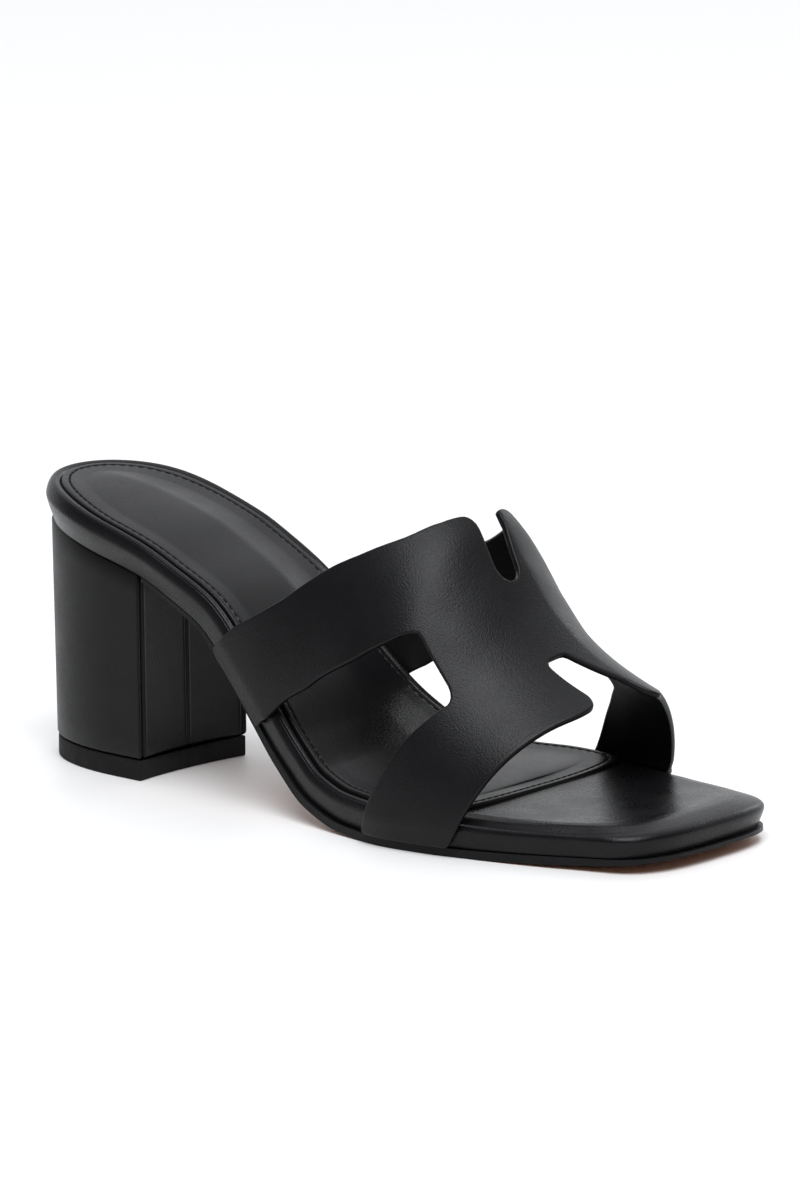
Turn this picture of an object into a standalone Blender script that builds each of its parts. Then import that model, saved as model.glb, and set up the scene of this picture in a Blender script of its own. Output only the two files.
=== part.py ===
"""Block heel mule, right shoe, built piece by piece over the shape of its last.

Sizes are in millimetres and become metres when an object is made. While the pieces are worked out, X runs
from the heel to the toe, Y to the inner (medial) side of the foot and Z up, with the floor at zero.
The finished shoe is then moved so that the bottom centre of its box is the origin.
"""

from math import cos, pi, sin, sqrt, tan

import bmesh
import bpy
import numpy as np
from mathutils import Vector
from mathutils.geometry import delaunay_2d_cdt

MM = 0.001
GAP = 0.3

# One row per station along the foot: the underside of the footbed (height over the floor), the widest line of
# its side on the outer and the inner half, how far the side slopes in below that line, the height of the rolled
# rim over the underside, how broad the roll is, how much the inner edge is raised, at the heel seat and behind
# the oblique line of the ball, and how much thicker the footbed is along its inner edge.
SOLE_COLUMNS = ("x", "height", "lateral", "medial", "undercut", "rim", "roll", "raise_medial", "thicker_medial")
SOLE = (
    (-2, 71.2, -27.0, 27.4, 2.6, 12.4, 0.66, 1.3, 0.0),
    (15, 68.6, -27.3, 27.8, 3.6, 12.0, 0.66, 1.3, 0.0),
    (32, 64.9, -27.0, 28.0, 4.0, 11.2, 0.66, 1.0, 0.1),
    (48, 60.7, -26.2, 28.0, 3.8, 10.5, 0.66, 1.0, 0.1),
    (60, 56.0, -25.8, 27.8, 3.0, 10.1, 0.66, 0.8, 0.1),
    (72, 50.6, -25.8, 27.0, 2.2, 9.9, 0.66, 0.4, 0.1),
    (84, 40.6, -26.7, 26.9, 1.8, 9.5, 0.66, 0.1, 0.1),
    (96, 28.4, -27.9, 29.4, 1.8, 9.2, 0.66, 0.0, 0.1),
    (108, 16.2, -29.2, 35.0, 1.8, 9.0, 0.66, 0.2, 0.2),
    (120, 7.4, -30.8, 40.4, 1.8, 8.9, 0.66, 0.6, 0.4),
    (135, 3.4, -32.9, 45.6, 1.8, 9.0, 0.68, 1.5, 0.8),
    (150, 2.7, -34.3, 50.0, 1.8, 9.1, 0.75, 1.3, 1.2),
    (165, 2.7, -32.7, 52.2, 1.7, 9.2, 0.90, 0.2, 1.5),
    (172, 2.7, -31.2, 52.6, 1.6, 9.2, 1.05, 0.0, 1.3),
    (190, 3.2, -26.7, 52.3, 1.5, 8.6, 1.3, 0.0, 0.5),
    (200, 3.6, -23.6, 51.2, 1.5, 8.5, 1.5, 0.0, 0.1),
    (212, 4.1, -19.2, 49.4, 1.5, 8.5, 1.8, 0.0, 0.0),
    (234, 5.2, -12.4, 46.6, 1.5, 9.4, 2.0, 0.0, 0.0),
)
HEEL_BACK = -0.7
TOE_TIP = 231.2
HEEL_CAP = 34.0
HEEL_POWER = 2.1
TOE_CAP = 15.0
TOE_POWER = 3.0
TOE_TURN = 1.0
TURN_LENGTH = 40.0

# Cross section of the footbed's edge, with the columns: share of the undercut still to come, further inset, and
# share of the rim height.
EDGE = (
    (1.00, 0.0, 0.00),
    (0.50, 0.0, 0.32),
    (0.00, 0.0, 0.66),
    (0.00, 0.3, 0.80),
    (0.00, 1.1, 0.93),
    (0.00, 2.4, 1.00),
    (0.00, 3.7, 0.96),
)
BED_INSET = 4.3
BED_DISH = 0.9
SAG_FADE = 40.0

OUTSOLE_COLUMNS = ("x", "thickness", "margin")
OUTSOLE = (
    (46, 1.2, 4.2),
    (72, 1.4, 2.2),
    (96, 1.9, 1.2),
    (120, 2.3, 0.7),
    (140, 2.4, 0.6),
    (172, 2.4, 0.8),
    (200, 2.4, 1.1),
    (212, 2.1, 1.1),
    (222, 1.7, 1.2),
    (234, 0.9, 1.2),
)

# The padded sock: its edge stands a little above the footbed's rim, and its top is crowned like a cushion. The
# footbed's top, which carries it, comes nearer to the rim towards the toe.
SOCK_MARGIN = 3.5
SOCK_TIP = 172.6
SOCK_TOE_CAP = 9.0
SOCK_TOE_POWER = 4.2
SOCK_TURN = 0.9
SOCK_COLUMNS = ("x", "above_rim", "crown", "bed_below_rim")
SOCK = (
    (-2, 0.5, 1.3, 1.6),
    (30, 0.6, 1.5, 1.6),
    (50, 0.9, 1.5, 1.5),
    (75, 0.8, 1.3, 1.4),
    (100, 0.7, 1.0, 1.2),
    (130, 0.8, 0.6, 0.8),
    (150, 1.0, 0.4, 0.5),
    (180, 1.1, 0.2, 0.4),
    (200, 1.1, 0.2, 0.2),
)
SOCK_EDGE_ROUND = 0.7

HEEL_LENGTH = 47.0
HEEL_WIDTH = 44.4
HEEL_BREAST = 48.5
HEEL_BACK_CAP = 36.0
BREAST_HOLLOW = 1.6
BREAST_TURN = 0.6
BREAST_BLEND = 14.0
OUTSOLE_END_GAP = 1.0
# How far back the top of the heel leans, at its back and at its breast.
HEEL_LEAN_BACK = 1.9
HEEL_LEAN_BREAST = 0.9
LIFT_HEIGHT = 6.0
LIFT_INSET = 0.3

# The last under the upper: height of its ridge over the floor, how far the ridge lies inwards of the middle, and
# how full the inner half is (2 is an ellipse).
LAST_COLUMNS = ("x", "ridge", "offset", "fullness")
LAST = (
    (70, 114.0, 5.0, 2.0),
    (90, 111.0, 5.5, 2.0),
    (110, 107.0, 6.0, 1.9),
    (130, 100.5, 6.5, 1.75),
    (150, 87.8, 7.0, 1.66),
    (160, 74.8, 5.8, 1.62),
    (170, 62.0, 5.0, 1.60),
    (180, 52.8, 5.5, 1.60),
    (190, 46.4, 6.5, 1.60),
    (200, 42.0, 7.5, 1.60),
    (215, 37.0, 8.0, 1.60),
)
LEATHER = 2.0
STRAP_GAP = 0.45
SKIRT = 0.05
FULLNESS_LATERAL = 2.0

# The cut of the upper. The girth column runs from the sole line (0) to the ridge (0.5), the others are stations
# along the foot: back edge, rear and front edge of the side opening, and front edge.
STRAP_COLUMNS = ("girth", "back", "cut_rear", "cut_front", "front")
STRAPS_LATERAL = (
    (0.00, 80.0, 99.0, 143.4, 173.0),
    (0.05, 85.0, 104.0, 146.2, 177.0),
    (0.10, 91.7, 112.0, 152.8, 180.8),
    (0.15, 100.3, 124.0, 158.8, 184.3),
    (0.20, 109.5, 139.5, 164.6, 187.5),
    (0.25, 119.2, 150.5, 169.0, 190.6),
    (0.30, 131.4, 155.0, 172.0, 193.6),
    (0.35, 140.6, 155.0, 172.0, 196.6),
    (0.40, 145.4, 155.0, 172.0, 198.5),
)
STRAPS_MEDIAL = (
    (0.00, 80.0, 97.5, 152.0, 177.5),
    (0.05, 85.5, 102.5, 154.0, 181.0),
    (0.10, 92.5, 110.5, 157.5, 183.5),
    (0.15, 102.0, 122.0, 161.5, 185.8),
    (0.20, 112.0, 137.0, 166.5, 188.1),
    (0.25, 122.0, 149.0, 171.0, 190.3),
    (0.30, 134.2, 154.0, 174.0, 192.5),
    (0.35, 142.5, 154.0, 174.0, 194.9),
    (0.40, 147.4, 154.0, 174.0, 197.9),
)
# Girths where the straps' edges end and run into the corners below.
LOBE_START_LATERAL = 0.36
LOBE_START_MEDIAL = 0.37
THROAT_END = 0.40
CUT_FRONT_END = 0.21
CUT_REAR_END = 0.24
# Corners, each with its station, its girth from the outer sole line (0) to the inner (1), and a rounding radius.
LATERAL_LOBE = (198.0, 0.405, 5.0)
NOTCH = ((180.0, 0.408, 2.0), (180.6, 0.455, 2.0))
MEDIAL_LOBE = (204.5, 0.540, 9.0)
MEDIAL_THROAT = (150.4, 0.505, 2.6)
SLOT = ((162.6, 0.479, 3.2), (162.4, 0.436, 3.2))
LATERAL_THROAT = (148.9, 0.452, 4.0)
CUT_TOP_REAR_LATERAL = (154.3, 0.266, 1.0)
CUT_TOP_FRONT_LATERAL = (169.0, 0.245, 3.0)
CUT_TOP_REAR_MEDIAL = (154.5, 0.734, 1.0)
CUT_TOP_FRONT_MEDIAL = (171.5, 0.755, 3.0)
GIRTH_LENGTH = 180.0

# Mesh steps.
CAP_STEPS = 9
MID_STEPS = 30
CROSS_STEPS = 6
HEEL_SIDE_STEPS = 3
EDGE_STEPS = 9
ARC_STEPS = 4
BORDER_STEP = 3.6
FILL_STEP = 5.0
FILL_CLEAR = 2.4

# Materials, each with its colour and roughness.
MATERIALS = {
    "outsole_leather": ((0.16, 0.075, 0.04), 0.6),
    "footbed_leather": ((0.012, 0.012, 0.013), 0.4),
    "sock_leather": ((0.014, 0.014, 0.015), 0.45),
    "upper_leather": ((0.012, 0.012, 0.013), 0.5),
    "heel_leather": ((0.012, 0.012, 0.013), 0.45),
    "lift_rubber": ((0.010, 0.010, 0.010), 0.7),
}


class Curve:
    """Smooth curve through the rows of a table that never overshoots them (monotone cubic)."""

    def __init__(self, positions, values):
        self.positions = np.asarray(positions, float)
        self.values = np.asarray(values, float)
        steps = np.diff(self.positions)
        secants = np.diff(self.values) / steps
        tangents = np.zeros(len(self.positions))
        for i in range(1, len(tangents) - 1):
            if secants[i - 1] * secants[i] > 0:
                before = 2 * steps[i] + steps[i - 1]
                after = steps[i] + 2 * steps[i - 1]
                tangents[i] = (before + after) / (before / secants[i - 1] + after / secants[i])
        tangents[0] = secants[0]
        tangents[-1] = secants[-1]
        self.tangents = tangents

    def __call__(self, position):
        position = np.clip(position, self.positions[0], self.positions[-1])
        i = np.clip(np.searchsorted(self.positions, position) - 1, 0, len(self.positions) - 2)
        step = self.positions[i + 1] - self.positions[i]
        t = (position - self.positions[i]) / step
        ends = (1 + 2 * t) * (1 - t) ** 2 * self.values[i] + t * t * (3 - 2 * t) * self.values[i + 1]
        leans = t * (1 - t) ** 2 * self.tangents[i] + t * t * (t - 1) * self.tangents[i + 1]
        return ends + step * leans


def columns(names, rows):
    """Curves of a table's columns over its first one, by name."""
    table = np.array(rows, float)
    return {name: Curve(table[:, 0], table[:, k]) for k, name in enumerate(names)}


sole = columns(SOLE_COLUMNS, SOLE)
outsole_sizes = columns(OUTSOLE_COLUMNS, OUTSOLE)
sock_sizes = columns(SOCK_COLUMNS, SOCK)
last = columns(LAST_COLUMNS, LAST)


def slope(x):
    """Steepness of the footbed's underside along the foot."""
    reach = 0.5
    return (sole["height"](x + reach) - sole["height"](x - reach)) / (2 * reach)


def nearness(x, y):
    """How near a plan point lies to the inner edge: 0 on the outer half, 1 at the edge."""
    middle = 0.5 * (sole["lateral"](x) + sole["medial"](x))
    return np.clip((y - middle) / (sole["medial"](x) - middle), 0, 1.2) ** 2


def underside(x, y):
    """Height of the footbed's underside at a plan point."""
    return sole["height"](x) + sole["raise_medial"](x) * nearness(x, y)


def lift(plan, rise):
    """Plan points raised square to the footbed's long profile."""
    x, y = plan[:, 0], plan[:, 1]
    lean = slope(x)
    upright = 1 / np.sqrt(1 + lean**2)
    thicker = sole["thicker_medial"](x) * nearness(x, y) * np.clip(rise / sole["rim"](x), 0, 1)
    raised = (rise + thicker) * upright
    return np.column_stack([x - lean * raised, y, underside(x, y) + raised])


def cap(steps, power):
    """Shares of length and of width along a rounded end, from its tip to full width."""
    angles = [0.5 * pi * k / steps for k in range(steps)]
    shares = [(1 - cos(a) ** (2 / power), sin(a) ** (2 / power)) for a in angles]
    return shares + [(1.0, 1.0)]


def outline(back, tip, toe_cap, toe_power, turn, margin):
    """Closed plan outline between the heel's back and a front end: outer side forwards, then inner side back."""
    rear = [(back + HEEL_CAP * along, wide) for along, wide in cap(CAP_STEPS, HEEL_POWER)]
    front = [(tip - toe_cap * along, wide) for along, wide in cap(CAP_STEPS, toe_power)]
    straight = np.linspace(rear[-1][0], front[-1][0], MID_STEPS + 1)[1:-1]
    stations = rear + [(x, 1.0) for x in straight] + front[::-1]
    outer = [side_point(x, -wide, tip, turn, margin) for x, wide in stations]
    inner = [side_point(x, wide, tip, turn, margin) for x, wide in stations]
    return np.array(outer + inner[-2:0:-1])


def side_point(x, across, tip, turn, margin):
    """Plan point at a station; across runs from -1 at the outer edge to 1 at the inner one."""
    outer = sole["lateral"](x) + margin
    inner = sole["medial"](x) - margin
    near_toe = np.clip((x - tip + TURN_LENGTH) / TURN_LENGTH, 0, 1) ** 2
    return (x - turn * across * near_toe, 0.5 * (outer + inner) + 0.5 * across * (inner - outer))


def inset(plan, distance):
    """Outline moved inwards by a distance, one value or one per point."""
    along = np.roll(plan, -1, axis=0) - np.roll(plan, 1, axis=0)
    along /= np.linalg.norm(along, axis=1, keepdims=True)
    inwards = np.column_stack([-along[:, 1], along[:, 0]])
    return plan + inwards * np.broadcast_to(distance, len(plan))[:, None]


def cross_rows(ring):
    """Rows of points across a ring, from its outer to its inner side, without the two end points."""
    half = len(ring) // 2
    shares = np.linspace(0, 1, CROSS_STEPS + 1)[:, None]
    return [ring[i] * (1 - shares) + ring[-i] * shares for i in range(1, half)]


class Shell:
    """Points and faces of one closed piece."""

    def __init__(self):
        self.points = []
        self.faces = []

    def add(self, points):
        start = len(self.points)
        self.points.extend(np.asarray(points, float).tolist())
        return list(range(start, len(self.points)))

    def band(self, first, second):
        """Closed band of quads between two rings of indices."""
        for k in range(len(first)):
            n = (k + 1) % len(first)
            self.faces.append((first[k], first[n], second[n], second[k]))

    def fill(self, ring_indices, ring_points, sag):
        """Cross strips inside a ring, let down by sag(x, share across), less so where the ring narrows."""
        rows = cross_rows(ring_points)
        half = len(ring_indices) // 2
        shares = np.linspace(0, 1, CROSS_STEPS + 1)
        strips = []
        for i, row in enumerate(rows, start=1):
            middle = row[1:-1].copy()
            fade = min(1.0, np.ptp(row[:, 1]) / SAG_FADE) ** 2
            middle[:, 2] -= fade * sag(row[1:-1, 0], shares[1:-1])
            strips.append([ring_indices[i]] + self.add(middle) + [ring_indices[-i]])
        for a, b in zip(strips, strips[1:]):
            for k in range(CROSS_STEPS):
                self.faces.append((a[k], a[k + 1], b[k + 1], b[k]))
        for tip, strip in ((ring_indices[0], strips[0]), (ring_indices[half], strips[-1])):
            for k in range(CROSS_STEPS):
                self.faces.append((tip, strip[k], strip[k + 1]))


def no_sag(x, across):
    return np.zeros(len(across))


def footbed_ring(plan, row):
    """One line of the footbed's edge; a broader roll also sits lower on the side."""
    undercut, extra, rise = row
    x = plan[:, 0]
    roll = sole["roll"](x)
    distance = sole["undercut"](x) * undercut + roll * extra
    return lift(inset(plan, distance), sole["rim"](x) * rise ** np.sqrt(roll))


def bed_rise(x):
    """Height of the footbed's top, inside its rim, over the underside."""
    return sole["rim"](x) - sock_sizes["bed_below_rim"](x)


def make_footbed():
    """Wrapped board: sloping side, rolled rim, and a slightly dished top inside it."""
    plan = outline(HEEL_BACK, TOE_TIP, TOE_CAP, TOE_POWER, TOE_TURN, 0.0)
    shell = Shell()
    rings = [footbed_ring(plan, row) for row in EDGE]
    rings.append(lift(inset(plan, BED_INSET * sole["roll"](plan[:, 0])), bed_rise(plan[:, 0])))
    indices = [shell.add(ring) for ring in rings]
    for first, second in zip(indices, indices[1:]):
        shell.band(first, second)
    shell.fill(indices[0], rings[0], no_sag)
    shell.fill(indices[-1], rings[-1], lambda x, across: BED_DISH * (1 - (2 * across - 1) ** 2))
    return shell


def sock_ring(plan, distance, below_top):
    x = plan[:, 0]
    top = sole["rim"](x) + sock_sizes["above_rim"](x)
    return lift(inset(plan, distance), top - below_top)


def sock_floor(plan):
    """Underside of the sock, a gap over the footbed's top."""
    return lift(plan, bed_rise(plan[:, 0]) + GAP)


def make_insole():
    """Padded sock lying on the footbed, with a soft edge and a crowned top."""
    plan = outline(HEEL_BACK + SOCK_MARGIN, SOCK_TIP, SOCK_TOE_CAP, SOCK_TOE_POWER, SOCK_TURN, SOCK_MARGIN)
    shell = Shell()
    rings = [
        sock_floor(plan),
        sock_ring(plan, 0.0, SOCK_EDGE_ROUND),
        sock_ring(plan, 0.3 * SOCK_EDGE_ROUND, 0.3 * SOCK_EDGE_ROUND),
        sock_ring(plan, SOCK_EDGE_ROUND, 0.0),
    ]
    indices = [shell.add(ring) for ring in rings]
    for first, second in zip(indices, indices[1:]):
        shell.band(first, second)
    shell.fill(indices[0], rings[0], no_sag)
    shell.fill(
        indices[-1],
        rings[-1],
        lambda x, across: -sock_sizes["crown"](x) * (1 - (2 * across - 1) ** 2),
    )
    return shell


def breast_x(y):
    """Station of the heel's hollow front face."""
    across = y / (0.5 * HEEL_WIDTH)
    return HEEL_BREAST + BREAST_TURN * (1 + across) - BREAST_HOLLOW * (1 - across**2)


def slab(rows, bottom, top):
    """Closed plate from rows of plan points, with bottom(plan) and top(plan) giving its 3D points."""
    shell = Shell()
    under = [shell.add(bottom(row)) for row in rows]
    over = [shell.add(top(row)) for row in rows]
    for a in range(len(rows) - 1):
        for k in range(len(rows[a]) - 1):
            shell.faces.append((under[a][k], under[a + 1][k], under[a + 1][k + 1], under[a][k + 1]))
            shell.faces.append((over[a][k], over[a][k + 1], over[a + 1][k + 1], over[a + 1][k]))
    shell.band(grid_border(under), grid_border(over))
    return shell


def grid_border(rows):
    """Indices round the edge of a grid of rows."""
    first_column = [row[0] for row in rows]
    last_column = [row[-1] for row in rows[-2::-1]]
    return first_column + rows[-1][1:] + last_column + rows[0][-2:0:-1]


def make_outsole():
    """Thin sheet from the heel breast to the toe that carries footbed and straps."""
    start = HEEL_BREAST + 2 * BREAST_TURN + OUTSOLE_END_GAP
    toe = [(TOE_TIP - TOE_CAP * along, wide) for along, wide in cap(CAP_STEPS, TOE_POWER)]
    straight = np.linspace(start, toe[-1][0], MID_STEPS + 1)[:-1]
    stations = [(x, 1.0) for x in straight] + toe[::-1]
    shares = np.linspace(-1, 1, CROSS_STEPS + 1)
    rows = []
    for x, wide in stations:
        margin = float(outsole_sizes["margin"](x))
        row = np.array([side_point(x, wide * s, TOE_TIP, TOE_TURN, margin) for s in shares])
        blend = max(0.0, 1 - (x - start) / BREAST_BLEND)
        beside_heel = np.clip(row[:, 1], -0.5 * HEEL_WIDTH, 0.5 * HEEL_WIDTH)
        row[:, 0] += blend * (breast_x(beside_heel) + OUTSOLE_END_GAP - start)
        rows.append(row)
    return slab(
        rows,
        lambda plan: lift(plan, -GAP - outsole_sizes["thickness"](plan[:, 0])),
        lambda plan: lift(plan, np.full(len(plan), -GAP)),
    )


def heel_rows(shrink):
    """Rows of plan points of the D shaped heel, from its back to its breast."""
    back = HEEL_BREAST - HEEL_LENGTH
    rear = [(back + HEEL_BACK_CAP * along, wide) for along, wide in cap(CAP_STEPS, HEEL_POWER)]
    straight = np.linspace(rear[-1][0], HEEL_BREAST, HEEL_SIDE_STEPS + 1)[1:]
    shares = np.linspace(-1, 1, CROSS_STEPS + 1)
    rows = []
    for x, wide in rear + [(x, 1.0) for x in straight]:
        y = shares * wide * (0.5 * HEEL_WIDTH - shrink)
        blend = max(0.0, 1 - (HEEL_BREAST - x) / BREAST_BLEND)
        station = x + shrink * (1 - 2 * blend) + blend * (breast_x(y) - HEEL_BREAST)
        rows.append(np.column_stack([station, y]))
    return rows


def flat_at(height):
    return lambda plan: np.column_stack([plan, np.full(len(plan), height)])


def heel_top(plan):
    """Top of the heel under the footbed, leaning back a little."""
    share = (plan[:, 0] - HEEL_BREAST + HEEL_LENGTH) / HEEL_LENGTH
    x = plan[:, 0] - HEEL_LEAN_BACK * (1 - share) - HEEL_LEAN_BREAST * share
    y = plan[:, 1]
    return np.column_stack([x, y, underside(x, y) - GAP])


def make_heel():
    """Covered block under the back of the footbed."""
    return slab(heel_rows(0.0), flat_at(LIFT_HEIGHT + GAP), heel_top)


def make_heel_lift():
    return slab(heel_rows(LIFT_INSET), flat_at(0.0), flat_at(LIFT_HEIGHT))


def upper_point(x, girth):
    """Point of the upper's middle surface; girth runs from the outer sole line (0) to the inner (1)."""
    side = np.where(girth < 0.5, -1.0, 1.0)
    from_sole = np.where(girth < 0.5, girth, 1 - girth)
    skirt = np.clip(from_sole / SKIRT, 0, 1)
    turn = 0.5 * pi * np.clip((from_sole - SKIRT) / (0.5 - SKIRT), 0, 1)
    lean = slope(x)
    rise = EDGE[2][2] * sole["rim"](x) * np.sqrt(1 + lean**2)
    foot = x + rise * skirt * lean / (1 + lean**2)
    clear = 0.5 * LEATHER + STRAP_GAP - sole["undercut"](foot) * (1 - skirt)
    edge = np.where(side < 0, sole["lateral"](foot) - clear, sole["medial"](foot) + clear)
    level = underside(x, edge)
    ridge_y = 0.5 * (sole["lateral"](x) + sole["medial"](x)) + last["offset"](x)
    power = np.where(side < 0, FULLNESS_LATERAL, last["fullness"](x))
    y = ridge_y + (edge - ridge_y) * np.cos(turn) ** (2 / power)
    z = level + rise * skirt + (last["ridge"](x) - level - rise) * np.sin(turn) ** (2 / power)
    return np.stack([x, y, z], axis=-1)


def upper_normal(x, girth):
    """Outward direction of the upper's middle surface."""
    dx = 0.4
    dg = 0.004
    low = np.clip(girth - dg, 0, 1)
    high = np.clip(girth + dg, 0, 1)
    along = upper_point(x + dx, girth) - upper_point(x - dx, girth)
    around = upper_point(x, high) - upper_point(x, low)
    out = np.cross(along, around)
    return out / np.linalg.norm(out, axis=1, keepdims=True)


def edge_run(table, name, first, last_girth, medial):
    """Points of one strap edge between two girths of a strap table, without rounding."""
    curve = columns(STRAP_COLUMNS, table)[name]
    girths = np.linspace(first, last_girth, EDGE_STEPS)
    return [(float(curve(g)), 1 - g if medial else g, 0.0) for g in girths]


def upper_corners():
    """The upper's outline as one closed run of corners: station, girth, rounding radius."""
    outer, inner = STRAPS_LATERAL, STRAPS_MEDIAL
    run = edge_run(outer, "front", 0.0, LOBE_START_LATERAL, False)
    run += [LATERAL_LOBE, *NOTCH, MEDIAL_LOBE]
    run += edge_run(inner, "front", LOBE_START_MEDIAL, 0.0, True)
    run += edge_run(inner, "cut_front", 0.0, CUT_FRONT_END, True)
    run += [CUT_TOP_FRONT_MEDIAL, CUT_TOP_REAR_MEDIAL]
    run += edge_run(inner, "cut_rear", CUT_REAR_END, 0.0, True)
    run += edge_run(inner, "back", 0.0, THROAT_END, True)
    run += [MEDIAL_THROAT, *SLOT, LATERAL_THROAT]
    run += edge_run(outer, "back", THROAT_END, 0.0, False)
    run += edge_run(outer, "cut_rear", 0.0, CUT_REAR_END, False)
    run += [CUT_TOP_REAR_LATERAL, CUT_TOP_FRONT_LATERAL]
    run += edge_run(outer, "cut_front", CUT_FRONT_END, 0.0, False)
    return run


def rounded(corners):
    """Outline in the flat chart (station, girth length) with its corners rounded."""
    flat = [Vector((x, girth * GIRTH_LENGTH)) for x, girth, _ in corners]
    points = []
    for k, (_, _, radius) in enumerate(corners):
        corner = flat[k]
        if radius == 0:
            points.append(corner)
            continue
        back = (flat[k - 1] - corner).normalized()
        ahead = (flat[(k + 1) % len(flat)] - corner).normalized()
        half_angle = 0.5 * back.angle(ahead)
        reach = radius / tan(half_angle)
        centre = corner + (back + ahead).normalized() * radius / sin(half_angle)
        start = corner + back * reach - centre
        end = corner + ahead * reach - centre
        for step in range(ARC_STEPS + 1):
            share = step / ARC_STEPS
            mixed = start * (1 - share) + end * share
            points.append(centre + mixed.normalized() * radius)
    return points


def resampled(points, step):
    """Closed run of points with long sides divided into even steps."""
    dense = []
    for k, point in enumerate(points):
        after = points[(k + 1) % len(points)]
        parts = max(1, round((after - point).length / step))
        dense.extend(point.lerp(after, part / parts) for part in range(parts))
    return dense


def inside(points, border):
    """Which points lie inside a closed border, and how far from it each one is."""
    closed = np.vstack([border, border[:1]])
    crossings = np.zeros(len(points), int)
    nearest = np.full(len(points), np.inf)
    for (x0, y0), (x1, y1) in zip(closed, closed[1:]):
        spans = (y0 > points[:, 1]) != (y1 > points[:, 1])
        rise = y1 - y0 if y1 != y0 else 1.0
        crossings += spans & (points[:, 0] < x0 + (x1 - x0) * (points[:, 1] - y0) / rise)
        side = np.array([x1 - x0, y1 - y0])
        share = np.clip(((points - (x0, y0)) @ side) / (side @ side), 0, 1)
        gaps = points - (x0, y0) - share[:, None] * side
        nearest = np.minimum(nearest, np.hypot(gaps[:, 0], gaps[:, 1]))
    return crossings % 2 == 1, nearest


def fill_points(border):
    """Staggered grid of points inside the upper's outline."""
    low, high = border.min(axis=0), border.max(axis=0)
    rows = []
    for k, y in enumerate(np.arange(low[1], high[1], FILL_STEP * 0.5 * sqrt(3))):
        x = np.arange(low[0] + 0.5 * FILL_STEP * (k % 2), high[0], FILL_STEP)
        rows.append(np.column_stack([x, np.full(len(x), y)]))
    grid = np.vstack(rows)
    kept, nearest = inside(grid, border)
    return grid[kept & (nearest > FILL_CLEAR)]


def make_upper():
    """One hollow leather piece: a mesh of its cut, laid over the last and given the leather's thickness."""
    border = np.array(resampled(rounded(upper_corners()), BORDER_STEP))
    flat = np.vstack([border, fill_points(border)])
    loop = list(range(len(border)))
    sides = [(k, (k + 1) % len(border)) for k in loop]
    chart, _, triangles, _, _, _ = delaunay_2d_cdt([Vector(p) for p in flat], sides, [loop], 1, 1e-5)
    chart = np.array([tuple(p) for p in chart])
    x, girth = chart[:, 0], chart[:, 1] / GIRTH_LENGTH
    middle, out = upper_point(x, girth), upper_normal(x, girth)
    shell = Shell()
    outer = shell.add(middle + 0.5 * LEATHER * out)
    inner = shell.add(middle - 0.5 * LEATHER * out)
    for triangle in triangles:
        shell.faces.append(tuple(outer[k] for k in triangle))
        shell.faces.append(tuple(inner[k] for k in reversed(triangle)))
    shell.band([inner[k] for k in loop], [outer[k] for k in loop])
    return shell


def clear_scene():
    for item in list(bpy.data.objects):
        bpy.data.objects.remove(item)


def make_material(name):
    colour, roughness = MATERIALS[name]
    material = bpy.data.materials.new(name)
    material.use_nodes = True
    shader = material.node_tree.nodes["Principled BSDF"]
    shader.inputs["Base Color"].default_value = (*colour, 1.0)
    shader.inputs["Roughness"].default_value = roughness
    return material


def make_object(name, shell, shift, material, collection):
    mesh = bpy.data.meshes.new(name)
    points = (np.array(shell.points) - shift) * MM
    mesh.from_pydata(points.tolist(), [], shell.faces)
    work = bmesh.new()
    work.from_mesh(mesh)
    bmesh.ops.remove_doubles(work, verts=work.verts, dist=1e-7)
    bmesh.ops.dissolve_degenerate(work, edges=work.edges, dist=1e-7)
    bmesh.ops.recalc_face_normals(work, faces=work.faces)
    work.to_mesh(mesh)
    work.free()
    mesh.materials.append(material)
    collection.objects.link(bpy.data.objects.new(name, mesh))


def main():
    clear_scene()
    bpy.context.scene.unit_settings.system = "METRIC"
    collection = bpy.data.collections.new("block_heel_mule")
    bpy.context.scene.collection.children.link(collection)
    pieces = (
        ("outsole", make_outsole(), "outsole_leather"),
        ("footbed", make_footbed(), "footbed_leather"),
        ("insole", make_insole(), "sock_leather"),
        ("upper", make_upper(), "upper_leather"),
        ("heel", make_heel(), "heel_leather"),
        ("heel_lift", make_heel_lift(), "lift_rubber"),
    )
    everything = np.vstack([np.array(shell.points) for _, shell, _ in pieces])
    low, high = everything.min(axis=0), everything.max(axis=0)
    shift = np.array([0.5 * (low[0] + high[0]), 0.5 * (low[1] + high[1]), low[2]])
    for name, shell, material in pieces:
        make_object(name, shell, shift, make_material(material), collection)


main()
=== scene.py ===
"""Block heel mule, right shoe: its leather pieces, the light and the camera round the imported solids.

Lengths are in millimetres in the part's working frame (X from heel to toe, Y to the inner side of the foot,
Z up, floor at zero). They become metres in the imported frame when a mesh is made.
"""

from math import cos, pi, radians, sin, sqrt, tan

import bmesh
import bpy
import numpy as np
from mathutils import Matrix, Vector
from mathutils.geometry import delaunay_2d_cdt


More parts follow.
